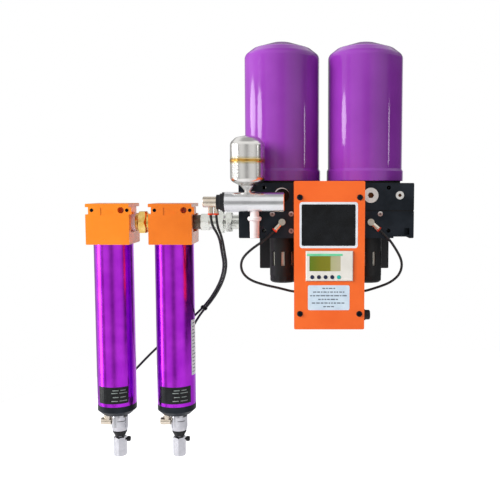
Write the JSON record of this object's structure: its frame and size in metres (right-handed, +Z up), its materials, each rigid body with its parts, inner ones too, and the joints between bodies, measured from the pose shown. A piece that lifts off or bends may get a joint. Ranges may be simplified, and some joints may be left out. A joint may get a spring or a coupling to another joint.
{
  "type": "desiccant air dryer",
  "caption": "Wall-mounted desiccant air dryer: spin-on drying canisters on a valve manifold with control box, exhaust mufflers, zero-loss drain and in-line prefilters.",
  "frame": {"origin": "on the wall, at the centre of the mounting holes", "axes": "+X to the right seen from the front, +Z up, +Y into the wall"},
  "size_m": [0.5299, 0.1913, 0.694],
  "materials": {
    "black_anodised": "satin black anodising",
    "bracket_black": "matt black powder coat",
    "black_rubber": "moulded rubber",
    "plug_aluminium": "turned aluminium",
    "canister_purple": "gloss enamel on drawn steel",
    "plated_steel": "zinc-plated steel",
    "desiccant": "packed beads",
    "muffler_black": "moulded plastic",
    "muffler_core_tan": "porous plastic",
    "box_orange": "satin powder coat",
    "screw_black": "black oxide steel",
    "nylon_black": "moulded nylon",
    "controller_cream": "moulded plastic",
    "screen_olive": "clear window over a grey-green display",
    "button_navy": "moulded plastic",
    "button_teal": "moulded plastic",
    "coil_black": "moulded coil",
    "nickel": "nickel-plated brass",
    "bright_chrome": "chrome-plated brass",
    "collar_red": "moulded plastic",
    "bright_aluminium": "turned and polished",
    "stainless": "polished stainless steel",
    "white_plastic": "moulded plastic",
    "head_orange": "satin powder coat on cast aluminium",
    "tube_purple": "gloss anodising",
    "knob_black": "moulded plastic",
    "filter_media": "pleated glass fibre paper",
    "zinc_steel": "galvanised malleable iron",
    "dark_steel": "black steel pipe",
    "ptfe_white": "plastic sealing ring",
    "brass": "turned brass",
    "tube_black": "polyurethane tube"
  },
  "bodies": {
    "dryer": {"wall_bracket": "bracket_black", "manifold_top_block": "black_anodised", "manifold_gasket": "black_rubber", "manifold_valve_block": "black_anodised", "port_plugs": "plug_aluminium", "canister_left_shell": "canister_purple", "canister_right_shell": "canister_purple", "canister_base_plates": "plated_steel", "canister_gaskets": "black_rubber", "canister_studs": "plated_steel", "desiccant_beds": "desiccant", "muffler_left": "muffler_black", "muffler_right": "muffler_black", "muffler_caps": "muffler_black", "muffler_cores": "muffler_core_tan", "control_box_tray": "box_orange", "control_box_cover": "box_orange", "cover_screws": "screw_black", "solenoid_valves": "coil_black", "cable_gland": "nylon_black", "controller_module": "controller_cream", "controller_screen": "screen_olive", "pilot_elbows": "nickel", "drain_elbows": "nickel", "release_collars": "collar_red", "drain_cylinder": "bright_aluminium", "drain_end_ring": "nylon_black", "drain_spigot": "nickel", "float_vessel": "stainless", "condensate_outlet": "white_plastic", "filter_left_head": "head_orange", "filter_right_head": "head_orange", "filter_left_tube": "tube_purple", "filter_right_tube": "tube_purple", "head_screws": "screw_black", "filter_elements": "filter_media", "filter_end_caps": "black_anodised", "filter_seals": "black_rubber", "float_drain_bodies": "bright_chrome", "float_drain_collars": "nylon_black", "drain_valves": "bright_chrome", "filter_elbows": "nickel", "union_adapter": "zinc_steel", "union_nut": "zinc_steel", "union_tail": "zinc_steel", "pipe_nipple": "dark_steel", "port_ring": "ptfe_white", "brass_union": "brass", "pilot_tube_left": "tube_black", "pilot_tube_right": "tube_black", "drain_tube_left": "tube_black", "drain_tube_right": "tube_black", "tube_tie": "nylon_black"},
    "controller_button_1": {"controller_button_1": "button_navy"},
    "controller_button_2": {"controller_button_2": "button_navy"},
    "controller_button_3": {"controller_button_3": "button_navy"},
    "controller_button_4": {"controller_button_4": "button_navy"},
    "controller_button_5": {"controller_button_5": "button_teal"},
    "drain_knob_left": {"drain_knob_left": "knob_black"},
    "drain_knob_right": {"drain_knob_right": "knob_black"}
  },
  "joints": [
    {"name": "button_1_press", "type": "slide", "parent": "dryer", "child": "controller_button_1", "axis": [0, 1, 0], "range_m": [0, 0.001], "stiffness_N_per_m": 800},
    {"name": "button_2_press", "type": "slide", "parent": "dryer", "child": "controller_button_2", "axis": [0, 1, 0], "range_m": [0, 0.001], "stiffness_N_per_m": 800},
    {"name": "button_3_press", "type": "slide", "parent": "dryer", "child": "controller_button_3", "axis": [0, 1, 0], "range_m": [0, 0.001], "stiffness_N_per_m": 800},
    {"name": "button_4_press", "type": "slide", "parent": "dryer", "child": "controller_button_4", "axis": [0, 1, 0], "range_m": [0, 0.001], "stiffness_N_per_m": 800},
    {"name": "button_5_press", "type": "slide", "parent": "dryer", "child": "controller_button_5", "axis": [0, 1, 0], "range_m": [0, 0.001], "stiffness_N_per_m": 800},
    {"name": "drain_knob_left_turn", "type": "hinge", "parent": "dryer", "child": "drain_knob_left", "pos_m": [-0.3375, -0.066, -0.3962], "axis": [1, 0, 0], "range_deg": [0, 90]},
    {"name": "drain_knob_right_turn", "type": "hinge", "parent": "dryer", "child": "drain_knob_right", "pos_m": [-0.2355, -0.066, -0.3962], "axis": [1, 0, 0], "range_deg": [0, 90]}
  ]
}
